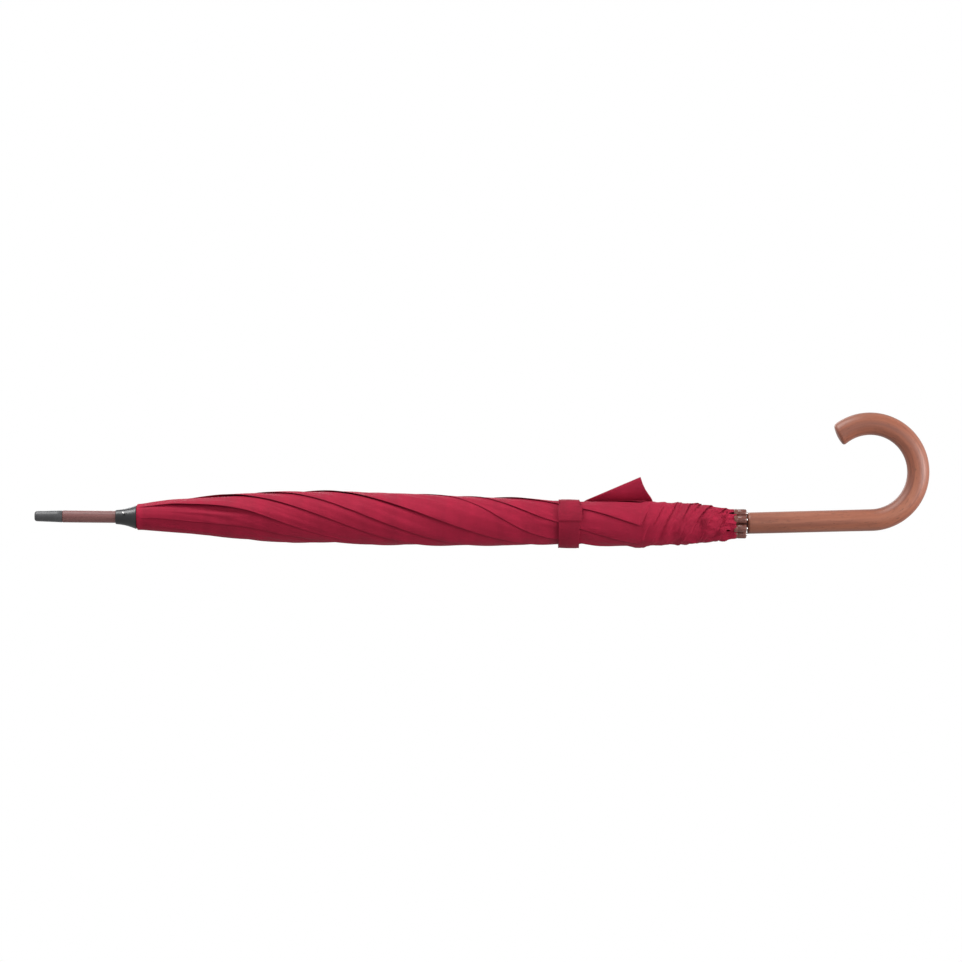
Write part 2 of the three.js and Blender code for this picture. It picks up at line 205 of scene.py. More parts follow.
# ---------- materials ----------
class Look:
    """One node-based material round a Principled shader."""

    def __init__(self, name, **sockets):
        self.mat = bpy.data.materials.new(name)
        self.mat.use_nodes = True
        self.nodes, self.links = self.mat.node_tree.nodes, self.mat.node_tree.links
        self.shader = self.nodes["Principled BSDF"]
        for socket, value in sockets.items():
            self.shader.inputs[socket.replace("_", " ")].default_value = value

    def node(self, kind, inputs=None, **settings):
        made = self.nodes.new(kind)
        for key, value in settings.items():
            setattr(made, key, value)
        for key, value in (inputs or {}).items():
            if isinstance(value, bpy.types.NodeSocket):
                self.links.new(value, made.inputs[key])
            else:
                made.inputs[key].default_value = value
        return made

    def place(self, source="object", stretch=(1, 1, 1)):
        """Coordinates in metres, or a stored vector, scaled per axis."""
        if source == "object":
            start = self.node("ShaderNodeTexCoord").outputs["Object"]
        else:
            start = self.node("ShaderNodeAttribute", attribute_name=source).outputs["Vector"]
        return self.node("ShaderNodeMapping", {"Vector": start, "Scale": stretch}).outputs["Vector"]

    def noise(self, vector, scale, detail=3, rough=0.5, distort=0):
        inputs = {"Vector": vector, "Scale": scale, "Detail": detail, "Roughness": rough}
        inputs["Distortion"] = distort
        return self.node("ShaderNodeTexNoise", inputs).outputs["Fac"]

    def bands(self, vector, scale, direction):
        inputs = {"Vector": vector, "Scale": scale, "Distortion": 0}
        made = self.node("ShaderNodeTexWave", inputs, wave_type="BANDS", bands_direction=direction)
        return made.outputs["Fac"]

    def ramp(self, factor, stops):
        made = self.node("ShaderNodeValToRGB", {"Fac": factor})
        elements = made.color_ramp.elements
        while len(elements) < len(stops):
            elements.new(0.5)
        for element, (where, color) in zip(elements, stops):
            element.position = where
            element.color = (*color, 1)
        return made.outputs["Color"]

    def span(self, factor, low, high, source=(0, 1)):
        inputs = {"Value": factor, "To Min": low, "To Max": high}
        inputs["From Min"], inputs["From Max"] = source
        return self.node("ShaderNodeMapRange", inputs).outputs["Result"]

    def math(self, operation, a, b=0.0):
        made = self.node("ShaderNodeMath", operation=operation)
        for i, value in enumerate((a, b)):
            if isinstance(value, bpy.types.NodeSocket):
                self.links.new(value, made.inputs[i])
            else:
                made.inputs[i].default_value = value
        return made.outputs["Value"]

    def mix(self, factor, a, b, blend="MIX"):
        made = self.node("ShaderNodeMix", data_type="RGBA", blend_type=blend)
        for key, value in ((0, factor), (6, a), (7, b)):
            if isinstance(value, bpy.types.NodeSocket):
                self.links.new(value, made.inputs[key])
            else:
                made.inputs[key].default_value = (*value, 1) if key else value
        return made.outputs[2]

    def color(self, socket):
        self.links.new(socket, self.shader.inputs["Base Color"])

    def rough(self, socket):
        self.links.new(socket, self.shader.inputs["Roughness"])

    def bumps(self, *layers):
        """Stacked bump layers of (height, distance in metres, strength)."""
        normal = None
        for height, distance, strength in layers:
            inputs = {"Height": height, "Distance": distance, "Strength": strength}
            if normal is not None:
                inputs["Normal"] = normal
            normal = self.node("ShaderNodeBump", inputs).outputs["Normal"]
        self.links.new(normal, self.shader.inputs["Normal"])


THREAD_SCALE = 900             # bands of the weave
DULL_RED, FULL_RED = (0.235, 0.008, 0.028), (0.305, 0.011, 0.036)
BETWEEN_THREADS, SLUB_RED = (0.13, 0.002, 0.01), (0.42, 0.02, 0.06)
SHEEN_TINT = (1.0, 0.45, 0.55, 1)


def make_cloth(name, shade=1.0):
    """Burgundy plain-weave polyester: fine crossed threads, soft sheen, slight shade changes."""
    gloss = {"Sheen_Weight": 0.03, "Sheen_Roughness": 0.4, "Specular_IOR_Level": 0.1}
    look = Look(name, Roughness=0.62, **gloss)
    look.shader.inputs["Sheen Tint"].default_value = SHEEN_TINT
    flat = look.place("cloth")
    warp = look.bands(flat, THREAD_SCALE, "X")
    weft = look.bands(flat, THREAD_SCALE, "Y")
    threads = look.math("MULTIPLY", warp, weft)
    broad = look.noise(look.place("cloth", (1, 3, 1)), 22, 4, 0.55)
    slub = look.noise(look.place("cloth", (1, 14, 1)), 160, 2)
    # a shade below 1 darkens the whole cloth as painted shade
    dull, full = (tuple(c * shade for c in color) for color in (DULL_RED, FULL_RED))
    base = look.ramp(broad, [(0.3, dull), (0.7, full)])
    shaded = look.mix(look.span(threads, 0.0, 0.16), base, BETWEEN_THREADS)
    look.color(look.mix(look.span(slub, 0.0, 0.1, (0.45, 0.8)), shaded, SLUB_RED))
    look.rough(look.span(broad, 0.55, 0.7, (0.3, 0.7)))
    creases = look.noise(look.place("cloth", (0.6, 2.6, 1)), 60, 4, 0.6, 0.4)
    look.bumps((threads, 0.00012, 0.5), (creases, 0.0012, 0.22))
    return look.mat


def make_wood(name, tones, roughness, coat):
    """Lacquered beech in three tones: long streaks and short dark flecks along the grain."""
    dark, mid, light = tones
    look = Look(name, Roughness=roughness, Coat_Weight=coat, Coat_Roughness=0.42, Specular_IOR_Level=0.3)
    long = look.place("grain", (1, 1, 0.06))
    figure = look.noise(long, 160, 5, 0.6, 0.6)
    flecks = look.noise(look.place("grain", (1, 1, 0.16)), 900, 2, 0.6)
    broad = look.noise(look.place("grain", (0.5, 0.5, 0.12)), 60, 2, 0.5)
    base = look.ramp(figure, [(0.28, dark), (0.5, mid), (0.74, light)])
    toned = look.mix(look.span(broad, 0.0, 0.45, (0.35, 0.7)), base, dark)
    look.color(look.mix(look.span(flecks, 0.0, 0.75, (0.6, 0.75)), toned, tuple(c * 0.35 for c in dark)))
    look.rough(look.span(figure, roughness + 0.08, roughness - 0.06, (0.3, 0.7)))
    look.bumps((flecks, 0.00005, 0.2), (figure, 0.0002, 0.1))
    return look.mat


def make_plastic(name, color, roughness, speckle=0.0):
    """Moulded plastic: fine orange peel, faint dust and handling marks."""
    look = Look(name, Roughness=roughness, Specular_IOR_Level=0.5)
    peel = look.noise(look.place(), 900, 2)
    wear = look.noise(look.place(), 160, 5, 0.7)
    lighter = tuple(min(1, c * 1.6 + 0.01) for c in color)
    look.color(look.mix(look.span(wear, 0.0, 0.5, (0.45, 0.8)), color, lighter))
    look.rough(look.span(wear, roughness, roughness + 0.16 + speckle, (0.35, 0.75)))
    look.bumps((peel, 0.00006, 0.25))
    return look.mat


def make_steel(name, color, roughness, metallic=1.0):
    """Drawn steel with fine lengthwise lines."""
    look = Look(name, Roughness=roughness, Metallic=metallic)
    lines = look.noise(look.place("object", (1, 1, 0.05)), 2600, 2)
    broad = look.noise(look.place(), 120, 3)
    darker = tuple(c * 0.6 for c in color)
    look.color(look.mix(look.span(broad, 0.0, 0.6, (0.35, 0.7)), color, darker))
    look.rough(look.span(lines, roughness - 0.06, roughness + 0.14, (0.3, 0.7)))
    look.bumps((lines, 0.00004, 0.3))
    return look.mat


CLOTH = make_cloth("burgundy_cloth")
STRAP_CLOTH = make_cloth("burgundy_cloth_painted_shade", 0.76)      # painted shade: the strap is the same cloth, darkened to stand in for shade
SHAFT_TONES = (0.10, 0.036, 0.034), (0.175, 0.070, 0.066), (0.25, 0.115, 0.105)
HANDLE_TONES = (0.145, 0.040, 0.022), (0.238, 0.071, 0.035), (0.30, 0.107, 0.058)
SHAFT_WOOD = make_wood("shaft_wood", SHAFT_TONES, 0.46, 0.22)
HANDLE_WOOD = make_wood("handle_wood", HANDLE_TONES, 0.5, 0.55)
BLACK = make_plastic("black_plastic", (0.014, 0.014, 0.016), 0.26)
GUNMETAL = make_plastic("gunmetal_plastic", (0.048, 0.048, 0.051), 0.34, 0.05)
BROWN = make_plastic("brown_plastic", (0.122, 0.039, 0.029), 0.16)
BRIGHT = make_steel("bright_steel", (0.72, 0.71, 0.70), 0.24)
ENAMEL = make_steel("black_enamel_steel", (0.022, 0.022, 0.026), 0.34, 0.6)

# ---------- camera ----------
FRAME_WIDTH = 958.152          # millimetres across the picture, at the umbrella
CENTRE_X, CENTRE_Z = 39.4, 327.7
ROLL = 0.57                    # the spike points this many degrees above level
LENS, SENSOR = 200, 36


def make_camera():
    """Looks along +Y with the end tip to the left and the crook up to the right."""
    data = bpy.data.cameras.new("camera")
    data.lens, data.sensor_width = LENS, SENSOR
    camera = bpy.data.objects.new("camera", data)
    bpy.context.scene.collection.objects.link(camera)
    distance = FRAME_WIDTH * LENS / SENSOR
    right = Vector((math.sin(math.radians(ROLL)), 0, -math.cos(math.radians(ROLL))))
    up = Vector((math.cos(math.radians(ROLL)), 0, math.sin(math.radians(ROLL))))
    back = right.cross(up)
    turn = Matrix((right, up, back)).transposed().to_4x4()
    camera.matrix_world = Matrix.Translation(Vector((CENTRE_X, -distance, CENTRE_Z)) * MM) @ turn
    data.clip_end = 60
    bpy.context.scene.camera = camera


make_camera()


# ---------- furled canopy ----------
HEM_U = 590                    # distance below the rib pivots where the hem meets the rib tips
FOLD_U = 495                   # where each pleat's folded edge ends in its hem corner
FOLD_SLOPE = math.tan(math.radians(21.7))                    # half a gore's width against its length
TOP_U = -7.6                   # the cloth starts tucked inside the cap's rim
STRAP_U = 425                  # distance of the strap's middle

# outside radius of the bundle against distance below the pivots
outer_radius = curve_through(
    [(-8, 12.0), (7, 14.0), (27, 16.6), (56, 19.4), (86, 21.8), (116, 24.6), (150, 26.1), (186, 26.3),
     (256, 25.6), (305, 25.2), (370, 23.9), (405, 21.9), (413, 21.3), (437, 21.3), (450, 22.2), (505, 22.9),
     (544, 21.2), (569, 18.2), (590, 15.2)], 6)

# the whole bundle sways a little off the shaft line
sway = curve_through(
    [(-8, 0.3), (10, 1.7), (30, 2.7), (60, 2.6), (90, 1.9), (185, 2.1), (300, -0.4), (455, -1.2),
     (560, -1.2), (590, -0.8)], 12)

# the winding gains this many degrees per millimetre, little under the cap and most past it
WIND_U = np.linspace(TOP_U, FOLD_U, 600)
WIND_RATE = 0.25 + 0.53 * smoothstep(35, 115, WIND_U) + 0.05 * smoothstep(420, 500, WIND_U)
WIND_GAIN = (WIND_RATE[1:] + WIND_RATE[:-1]) / 2 * np.diff(WIND_U)
WIND_TOTAL = np.concatenate([[0], np.cumsum(WIND_GAIN)])


def wound(u):
    """Degrees that the folded edges have wound at a distance below the pivots."""
    return np.interp(u, WIND_U, WIND_TOTAL)


FRONT = -90                    # azimuth facing the camera
FRONT_U = 182                  # where pleat 2's folded edge crosses the front
# how far each pleat's edge lies from an even spacing, in degrees
PLEAT_SHIFT = {1: 0, 2: 0, 3: -8, 4: -1, 5: -6, 6: 0, 7: 14, 8: 34}
MID_SHIFT = {5: 44, 6: 30}     # the same half way down
FULL = {4: 3.5}                # a pleat that shows widely there stays full for longer
CAP_SHIFT = {1: -11, 2: 26, 3: 18, 7: -8, 8: -20}            # the same close to the cap
# how far an edge springs off near the cap, in millimetres
PROUD = {1: 1.6, 2: 0.1, 3: 0.1, 4: 0.3, 5: 0.5, 6: 0.4, 7: 0.4, 8: 0.0}
PEELED = 8                     # this pleat's corner stands off the bundle
STRAY = 46                     # degrees that the hem wanders round the bundle
LEAST_WRAP, CAP_WRAP = 62, 30  # degrees every pleat winds at least, and the extra close to the cap
RIB_TOP_R, RIB_JOINT_R = 12.0, 13.6    # a rib's outer face at its pivot and at the stretcher joint
RIB_RISE, RIB_FALL = 1.6, 1.2  # how far that face moves outward above the joint and inward below it
UPPER_BOW, LOWER_BOW = 5, 4    # how far the rib bows outward between its ends
CLEARANCE = 0.75               # between the ribs and the inner ply


def rib_face(u):
    """Radius of a rib's outer face at rest."""
    u = np.asarray(u, float)
    upper = np.clip(u / JOINT_U, 0, 1)
    lower = np.clip((u - JOINT_U) / (HEM_U - 2 - JOINT_U), 0, 1)
    above = RIB_TOP_R + RIB_RISE * upper + UPPER_BOW * np.sin(math.pi * upper)
    return np.where(u < JOINT_U, above, RIB_JOINT_R - RIB_FALL * lower + LOWER_BOW * np.sin(math.pi * lower))


def core_radius(u):
    """Radius just outside the ribs."""
    return rib_face(u) + CLEARANCE


def half_width(u):
    """Flat width of half a gore: it grows to the folded corner and runs out along the hem."""
    u = np.asarray(u, float)
    full = FOLD_U * FOLD_SLOPE
    return np.where(u < FOLD_U, np.maximum(u, 0) * FOLD_SLOPE, full * (HEM_U - u) / (HEM_U - FOLD_U))


def wrap_angle(u):
    """How far one pleat winds from its rib to its edge, in degrees."""
    mid = (outer_radius(u) * 2 + core_radius(u)) / 3
    least = LEAST_WRAP + CAP_WRAP * (1 - smoothstep(50, 100, u))
    return np.maximum(np.degrees(half_width(u) / mid), least)


def midway(u):
    """One half way down the bundle, fading out above and below."""
    return smoothstep(150, 240, u) * (1 - smoothstep(290, 400, u))


def edge_azimuth(pleat, u):
    """Azimuth of a pleat's folded edge, then of its hem."""
    even = FRONT + wound(FRONT_U) + SECTOR * (pleat - 2)
    even = even + PLEAT_SHIFT[pleat] * smoothstep(60, 240, u) + MID_SHIFT.get(pleat, 0) * midway(u)
    even = even + CAP_SHIFT.get(pleat, 0) * (1 - smoothstep(40, 120, u))
    folded = even - wound(np.minimum(u, FOLD_U))
    hem = wrap_angle(FOLD_U) - wrap_angle(np.maximum(u, FOLD_U))
    stray = [noise.noise(Vector((float(v) / 19, 3.7 * pleat, 5))) for v in np.ravel(u)]
    from_u = FOLD_U + (18 if pleat == PEELED else 4)
    return folded + hem + STRAY * smoothstep(from_u, from_u + 24, u) * np.reshape(stray, np.shape(u))


# single folds pressed into the bundle: two ends as (distance, azimuth), height, half width in millimetres
FOLDS = [
    # gathers below the strap
    ((512, -142), (530, -38), -2.4, 2.2), ((516, -138), (533, -45), 1.2, 2.2),
    ((526, -82), (538, -34), -1.7, 1.9), ((541, -120), (549, -86), -0.9, 1.6),
    ((548, -112), (556, -60), 0.8, 1.8), ((543, -72), (551, -44), -0.8, 1.3),
    # dents half way down
    ((207, -84), (222, -58), 0.9, 4.0), ((222, -100), (236, -72), -0.6, 4.5),
    # creases either side of the strap
    ((386, -82), (410, -76), -1.0, 2.2), ((392, -92), (411, -96), 0.8, 2.4),
    ((436, -104), (462, -128), -0.7, 2.5), ((298, -62), (306, -30), 0.6, 3.0),
    ((446, -74), (475, -66), 0.5, 4.0),
    # long creases from the cap
    ((60, -118), (118, -104), 0.5, 3.0), ((6, -100), (34, -118), -0.8, 1.6),
    ((50, -68), (100, -78), -1.9, 2.0), ((34, -78), (98, -90), 0.7, 1.8),
]
# rounded bumps and hollows: distance, azimuth, height, half length, half width in degrees
BUMPS = [
    (493, 178, 2.3, 8, 20), (579, 172, 2.6, 5, 24), (571, -60, -1.5, 3.5, 9), (577, -80, -1.4, 3.5, 8),
    (568, 100, 1.6, 8, 30), (574, -118, 1.4, 4, 16), (560, -20, 1.0, 6, 18), (566, 20, -1.4, 5, 16),
    (575, 60, 1.6, 4, 18), (482, -120, 0.8, 14, 25), (470, 120, 1.0, 18, 25), (584, -50, 1.0, 3, 10),
]
BUNDLE_R = 22                  # a middling radius of the bundle


def creases(u, azimuth):
    """Shared creases of the bundle: long ones that follow the winding, gathers towards the hem."""
    follow = math.radians(azimuth + float(wound(min(u, FOLD_U))))
    straight = math.radians(azimuth)

    def wrinkle(angle, fineness, length, seed):
        return noise.noise(
            Vector((fineness * math.cos(angle), fineness * math.sin(angle), u / length + seed))
        )

    hem = float(smoothstep(500, 555, u))
    tips = float(smoothstep(556, 584, u))
    near_strap = math.exp(-(((u - STRAP_U) / 30) ** 2))
    return (
        (0.9 * wrinkle(follow, 3.2, 95, 0) + 0.45 * wrinkle(follow, 8, 38, 9)) * (1 - 0.5 * hem)
        + hem * (1.6 * wrinkle(straight, 2.6, 19, 3) + 1.7 * wrinkle(straight, 6, 9, 30))
        + tips * (1.5 * wrinkle(straight, 6, 13, 44) + 0.5 * wrinkle(straight, 14, 6, 51))
        + 1.1 * near_strap * wrinkle(straight, 7, 60, 17)
    )


STEP_U, STEP_A = 2.0, 2.0      # spacing of the stored crease heights
FIELD_U = np.arange(TOP_U, HEM_U + 6, STEP_U)
FIELD_A = np.arange(-180, 182, STEP_A)
FIELD = np.array([[creases(float(u), float(a)) for a in FIELD_A] for u in FIELD_U])


def around(azimuth):
    """An azimuth brought between -180 and 180 degrees."""
    return (azimuth + 180) % 360 - 180


def fold_height(start, end, height, width):
    """Height of one fold over the whole field: a ridge or groove along a line, strongest half way."""
    scale = math.radians(BUNDLE_R)         # millimetres per degree
    a, b = np.array([start[0], start[1] * scale]), np.array([end[0], end[1] * scale])
    run = b - a
    at_u, at_a = np.meshgrid(FIELD_U, FIELD_A * scale, indexing="ij")
    share = np.clip(((at_u - a[0]) * run[0] + (at_a - a[1]) * run[1]) / (run @ run), 0, 1)
    off = np.hypot(at_u - a[0] - share * run[0], at_a - a[1] - share * run[1])
    return height * np.exp(-((off / width) ** 2)) * (0.35 + 0.65 * np.sin(math.pi * share))


def bump_height(at, azimuth, height, long, wide):
    """Height of one rounded bump over the whole field."""
    turn = around(FIELD_A - azimuth) / wide
    return height * np.outer(np.exp(-(((FIELD_U - at) / long) ** 2)), np.exp(-(turn**2)))


for fold in FOLDS:
    FIELD += fold_height(*fold)
for bump in BUMPS:
    FIELD += bump_height(*bump)


def field(u, azimuth):
    """The creases at points, read between the nearest samples."""
    x = (around(azimuth) + 180) / STEP_A
    y = np.clip((u - FIELD_U[0]) / STEP_U, 0, len(FIELD_U) - 1.001) + 0 * x
    i, j = y.astype(int), np.minimum(x.astype(int), len(FIELD_A) - 2)
    fy, fx = y - i, x - j
    low = FIELD[i, j] * (1 - fx) + FIELD[i, j + 1] * fx
    high = FIELD[i + 1, j] * (1 - fx) + FIELD[i + 1, j + 1] * fx
    return low * (1 - fy) + high * fy


# distances below the pivots at which a gore has a row of vertices
ROWS = np.concatenate([np.linspace(TOP_U, -3, 8), np.linspace(-3, 40, 14)[1:],
                       np.linspace(40, FOLD_U, 104)[1:], np.linspace(FOLD_U, HEM_U, 54)[1:]])
# positions back from the folded edge, as shares of the half width
BACK = np.concatenate([[0, 0.004, 0.010, 0.020, 0.032], np.linspace(0.045, 0.42, 26),
                       np.linspace(0.45, 1, 18)])
PLY = 0.45                     # room between the two plies of a pleat
LIP, LIP_MORE = 0.35, 0.4      # how far each edge lifts off the next pleat, and the extra below the cap
NECK_R = 9.9                   # the gathered cloth's radius inside the cap
HANG = 3.5                     # how far the peeled corner's hem droops
RUFFLED_ROWS = 12              # this many rows along the hem wave up and down
RUFFLE = 3.2                   # how far they do so
CLOTH_THICK = 0.18

PEEL_U, PEEL_RISE = 440, 0.44  # the loose edge starts here and climbs this much per millimetre
CURL_FROM, CURL = 13, 0.045    # loose cloth is straight this far from the bundle, then curls outward


def curl(free):
    """How far loose cloth has curled outward at a distance from where it leaves the bundle."""
    return CURL * np.maximum(0, free - CURL_FROM) ** 2


def peel_start(u):
    """Azimuth where the peeled pleat leaves the bundle, so that its loose edge climbs in a straight line."""
    starts = np.linspace(2, 78, 200)
    found = []
    for v in np.ravel(np.minimum(u, FOLD_U)):
        free = np.radians(starts - edge_azimuth(PEELED, v)) * outer_radius(v)
        turn = np.radians(starts)
        reach = np.cos(turn) * (outer_radius(v) + curl(free)) + np.sin(turn) * free
        found.append(np.interp(outer_radius(PEEL_U) + PEEL_RISE * max(0, v - PEEL_U), reach, starts))
    return np.reshape(found, np.shape(u))


def lift(number, u, behind):
    """How far a pleat's cloth stands off, some degrees behind its folded edge."""
    hem = smoothstep(FOLD_U, FOLD_U + 12, u)
    off = (LIP + LIP_MORE * smoothstep(150, 250, u)) * np.exp(-behind / 9) * (1 - 0.8 * hem)
    near_cap = smoothstep(4, 40, u) * (1 - smoothstep(110, 175, u))
    off = off + PROUD[number] * near_cap * np.exp(-((behind / 20) ** 2))
    if number == PEELED:
        return off
    # here and there the hem's edge tucks in
    uneven = np.array([noise.noise(Vector((v / 13, 1.9 * number, 8))) for v in ROWS])[:, None]
    return off - hem * np.maximum(0, 1.3 + 4.5 * uneven) * np.exp(-((behind / 11) ** 2))


def pleat_radius(number, u, back, under, azimuth):
    """Radius of a pleat's cloth: it sinks from its folded edge to the ribs, and it is creased."""
    out, core, behind = outer_radius(u), core_radius(u), back * wrap_angle(u)
    ply = PLY * under * (0.25 + 0.75 * np.minimum(1, behind / 7))
    sink = 0.7 + 0.8 * smoothstep(50, 90, u) - 0.5 * smoothstep(200, 270, u)
    depth = back ** (sink + FULL.get(number, 0) * midway(u))
    radius = out - (out - core) * depth + lift(number, u, behind) - LIP - ply
    radius = radius + field(u, azimuth) * np.minimum(1, 0.35 + np.maximum(u, 0) / 160)
    return np.maximum(radius, core - 0.5 - 0.15 * under)


def peel(u, azimuth, under, x, y, height):
    """Takes the peeled pleat's corner off the bundle along a tangent, and says which cloth is loose."""
    out = outer_radius(u)
    start = peel_start(u) + 0 * azimuth
    free = np.radians(start - azimuth) * out
    loose = (free > 0) & (u > PEEL_U)
    a = np.radians(start)
    stand = out + 0.6 - under * PLY + curl(free)
    x = np.where(loose, sway(u) + np.cos(a) * stand + np.sin(a) * free, x)
    y = np.where(loose, np.sin(a) * stand - np.cos(a) * free, y)
    hang = HANG * np.exp(-(((free - 12) / 10) ** 2)) * smoothstep(478, 495, u)
    return x, y, height - np.where(loose, hang, 0), loose


def hem_ruffle(number, u, angle):
    """How far the hem waves up and down."""
    last = slice(-RUFFLED_ROWS, None)
    wave = [
        [noise.noise(Vector((9 * math.cos(a), 9 * math.sin(a), number))) for a in row] for row in angle[last]
    ]
    rise = np.zeros_like(angle)
    rise[last] = RUFFLE * smoothstep(566, 590, u[last]) * np.array(wave)
    return rise


def pleat(number):
    """One gore folded in half and wound round the ribs, with flat cloth coordinates."""
    # rows run down the bundle; columns run from the rib out to the folded edge and back on the under ply
    u = ROWS[:, None]
    back = np.concatenate([BACK[::-1], BACK[1:]])[None, :]
    under = np.concatenate([np.zeros(len(BACK)), np.ones(len(BACK) - 1)])[None, :]
    azimuth = edge_azimuth(number, u) + back * wrap_angle(u)
    # gathered inside the cap's rim
    tucked = smoothstep(-6.9, -5.2, u)
    radius = NECK_R + (pleat_radius(number, u, back, under, azimuth) - NECK_R) * tucked
    angle = np.radians(azimuth)
    x, y = radius * np.cos(angle) + sway(u), radius * np.sin(angle)
    # pushed out where it would go through the ribs
    clear = (rib_face(u) + 0.7 - 0.2 * under) * tucked
    push = np.maximum(1, clear / np.hypot(x, y))
    x, y = x * push, y * push
    height = PIVOT_Z - u + 0 * x
    loose = np.zeros_like(x, bool)
    if number == PEELED:
        x, y, height, loose = peel(u, azimuth, under, x, y, height)
    height = height + np.where(loose, 0, hem_ruffle(number, u, angle))
    vertices = np.stack([x, y, height], -1).reshape(-1, 3)
    side = np.where(under > 0, -1, 1)
    flat = np.stack([side * back * half_width(u) * MM, u * MM + 0 * back, 0 * x], -1)
    columns = back.shape[1]
    piece = new_object(f"canopy_gore_{number}", vertices, grid_faces(len(ROWS), columns), CLOTH)
    set_vectors(piece, "cloth", flat.reshape(-1, 3))
    thick = piece.modifiers.new("thickness", "SOLIDIFY")
    thick.thickness, thick.offset = CLOTH_THICK * MM, 0
    settle(piece)
    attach(piece, "root")
    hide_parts(f"canopy_lower_{number}")
    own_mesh(piece)


for n in range(1, RIBS + 1):
    pleat(n)


# ---------- open canopy ----------
STRIP = 3.2                    # width of the folded-up cloth beside each rib at rest
UPPER_LIFT, LOWER_LIFT = 0.2, 0.27     # how far the drop between two ribs is taken up again
SCALLOP = 9                    # depth of the curved hem between two ribs
LOW_TILT = OPEN_ANGLE - BEND_ANGLE


def unsmooth(w):
    """The share along a blend at which it has turned by the share w."""
    return 0.5 - math.sin(math.asin(1 - 2 * w) / 3)


def open_gore(name, rib, first_u, last_u, parent, child, sectors, steps_u, tilt):
    """Cloth from one rib to the next ones, folded up beside its rib at rest.

    Opened, it runs nearly straight from rib to rib: dropped towards the axis between them and lifted a
    little, both measured across the open umbrella and turned back by the rib's tilt.
    """
    a = math.radians(FIRST_RIB + SECTOR * (rib - 1))
    radial, across = Vector((math.cos(a), math.sin(a), 0)), Vector((-math.sin(a), math.cos(a), 0))
    lean = math.radians(tilt)
    columns = 16 * sectors + 1
    vertices, flat = [], []
    for i in range(steps_u + 1):
        u = first_u + (last_u - first_u) * i / steps_u
        upper, lower = min(u, BEND_U), max(0, u - BEND_U)
        run = upper * math.sin(math.radians(OPEN_ANGLE)) + lower * math.sin(math.radians(LOW_TILT))
        reach = PIVOT_R + run
        for j in range(columns):
            share = j / (columns - 1)
            within = (share * sectors) % 1 if j < columns - 1 else 1
            apart = math.radians(SECTOR) * (within - 0.5)
            drop = reach * (1 - math.cos(math.radians(SECTOR / 2)) / math.cos(apart))
            lift = drop * (UPPER_LIFT * upper / BEND_U + LOWER_LIFT * lower / (HEM_U - BEND_U))
            scallop = SCALLOP * (u / HEM_U) ** 6 * math.sin(math.pi * within)
            height = float(rib_face(u)) + 0.35 - drop * math.cos(lean) + lift * math.sin(lean)
            rise = drop * math.sin(lean) + lift * math.cos(lean) + scallop
            shift = STRIP * (unsmooth(share) - 0.5)
            vertices.append(radial * height + across * shift + Vector((0, 0, PIVOT_Z - u + rise)))
            flat.append((reach * apart * MM, u * MM, 0))
    piece = new_object(name, vertices, grid_faces(steps_u + 1, columns), CLOTH)
    set_vectors(piece, "cloth", flat)
    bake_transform(piece)
    return piece


for n in range(1, RIBS + 1):
    bodies = f"rib_outer_{n}", f"canopy_lower_{n}"
    open_gore(f"open_lower_{n}", n, BEND_U - 1, HEM_U, *bodies, 1, 24, LOW_TILT)
for n in range(1, RIBS + 1, 2):
    bodies = f"rib_{n}", f"canopy_upper_{n}"
    cloth = open_gore(f"open_upper_{n}", n, 3, BEND_U + 1, *bodies, 2, 18, OPEN_ANGLE)
    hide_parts(f"canopy_upper_{n}")


# ---------- strap ----------
STRAP_R, TAB_R = 22.1, 23.2    # the two pieces' radii round the bundle
STRAP_SLACK = 2.7              # how far the strap hangs slack
STRAP_THICK = 0.7
STITCH = 0.16                  # depth of the stitching
PUCKER, BULGE = 0.22, 0.25     # the cloth's unevenness and how far its middle stands out
STRAP_TURN = -29, -388         # azimuths where the strap starts and ends
TAB_TURN = -24.5, -86          # the same for the free tab, whose root lies under the strap
ROOT_TURN = 18.5, 21.5         # the tab widens from its root this many degrees from its start
STRAP_RIB = 7                  # the rib that carries the strap


def band(name, azimuths, radius, height_range, body, node, corner=0, neck=0):
    """A stitched cloth band round the bundle; its end can be rounded and its root narrower."""
    start, end = azimuths
    count = max(40, int(abs(end - start) / 3))
    across = np.array([0, 0.03, 0.08, 0.14, 0.5, 0.86, 0.92, 0.97, 1])
    vertices, flat = [], []
    for i in range(count + 1):
        azimuth = start + (end - start) * i / count
        a = math.radians(azimuth)
        inset = neck * (1 - float(smoothstep(*ROOT_TURN, abs(azimuth - start))))
        z0, z1 = height_range[0] + inset, height_range[1] - inset
        left = abs(end - azimuth) * math.pi / 180 * radius(azimuth)
        trim = 0
        if left < corner:
            trim = corner * (1 - math.sqrt(max(0, 1 - (1 - left / corner) ** 2)))
        for w in across:
            z = z0 + trim + (z1 - z0 - 2 * trim) * w
            stitch = STITCH if 0.05 < w < 0.12 or 0.88 < w < 0.95 else 0
            pucker = PUCKER * noise.noise(Vector((azimuth / 7, z / 4, 2)))
            r = radius(azimuth) - stitch + pucker + BULGE * math.sin(math.pi * w)
            vertices.append((float(sway(STRAP_U)) + r * math.cos(a), r * math.sin(a), z))
            flat.append((azimuth * math.pi / 180 * BUNDLE_R * MM, z * MM, 0))
    piece = new_object(name, vertices, grid_faces(count + 1, len(across)), STRAP_CLOTH)
    set_vectors(piece, "cloth", flat)
    thick = piece.modifiers.new("thickness", "SOLIDIFY")
    thick.thickness, thick.offset = STRAP_THICK * MM, 1
    settle(piece)
    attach(piece, body)
    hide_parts(node)
    return piece


def strap_radius(azimuth):
    """The band sits close and hangs a little slack on the side away from the crook."""
    slack = around(azimuth - 180) / 40
    return STRAP_R + STRAP_SLACK * math.exp(-slack * slack)


def lie_flat(piece):
    """Gives a strap piece a mesh of its own."""
    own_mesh(piece)


